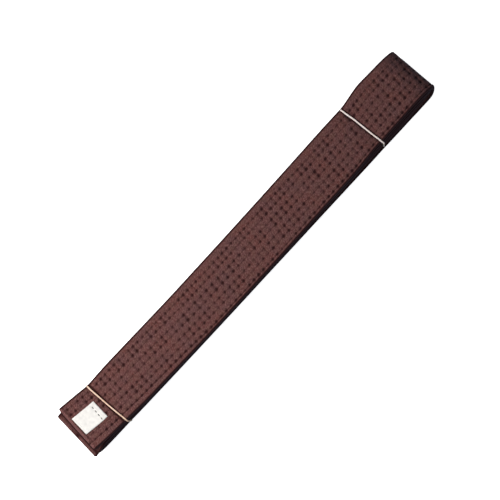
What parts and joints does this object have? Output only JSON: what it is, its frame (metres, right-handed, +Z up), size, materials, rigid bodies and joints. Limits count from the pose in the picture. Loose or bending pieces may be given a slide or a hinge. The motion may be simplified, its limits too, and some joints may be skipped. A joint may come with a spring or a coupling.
{
  "type": "martial arts belt",
  "caption": "Folded martial arts belt: a long quilted cotton strip laid back and forth in a flat hank, held by rubber bands, with a blank sewn label near its free ends.",
  "frame": {"origin": "under the middle of the hank, on the surface it lies on", "axes": "+X along the hank to its big fold, the free ends and the label at -X, +Z up"},
  "size_m": [0.374, 0.0426, 0.0291],
  "materials": {
    "brown_cotton": "matt dark brown cotton drill, fine diagonal weave, puckered by the quilting",
    "core_canvas": "undyed plain cotton canvas",
    "brown_thread": "matt dark brown spun thread",
    "label_satin": "off-white woven satin, blank",
    "label_thread": "dark grey thread",
    "tan_rubber": "satin tan natural rubber",
    "pale_rubber": "satin pale pink-cream natural rubber"
  },
  "bodies": {
    "belt": {"cover": "brown_cotton", "core_ply_lower": "core_canvas", "core_ply_middle": "core_canvas", "core_ply_upper": "core_canvas", "needle_thread_1": "brown_thread", "needle_thread_2": "brown_thread", "needle_thread_3": "brown_thread", "needle_thread_4": "brown_thread", "needle_thread_5": "brown_thread", "needle_thread_6": "brown_thread", "needle_thread_7": "brown_thread", "bobbin_thread_1": "brown_thread", "bobbin_thread_2": "brown_thread", "bobbin_thread_3": "brown_thread", "bobbin_thread_4": "brown_thread", "bobbin_thread_5": "brown_thread", "bobbin_thread_6": "brown_thread", "bobbin_thread_7": "brown_thread", "end_stitch_a": "brown_thread", "end_stitch_b": "brown_thread", "label_sewn_end": "label_satin", "label_stitching": "label_thread"},
    "label_flap": {"label_flap": "label_satin"},
    "band_upper": {"rubber_band_upper": "pale_rubber"},
    "band_lower": {"rubber_band_lower": "tan_rubber"}
  },
  "joints": [
    {"name": "upper_band_pull_off", "type": "slide", "parent": "belt", "child": "band_upper", "axis": [1, 0, 0], "range_m": [0, 0.068], "deforming": ["rubber_band_upper"]},
    {"name": "lower_band_pull_off", "type": "slide", "parent": "belt", "child": "band_lower", "axis": [-1, 0, 0], "range_m": [0, 0.045], "deforming": ["rubber_band_lower"]},
    {"name": "label_lift", "type": "hinge", "parent": "belt", "child": "label_flap", "pos_m": [-0.16352, 0.00108, 0.02895], "axis": [0.1616, 0.9869, 0], "range_deg": [0, 120]}
  ]
}
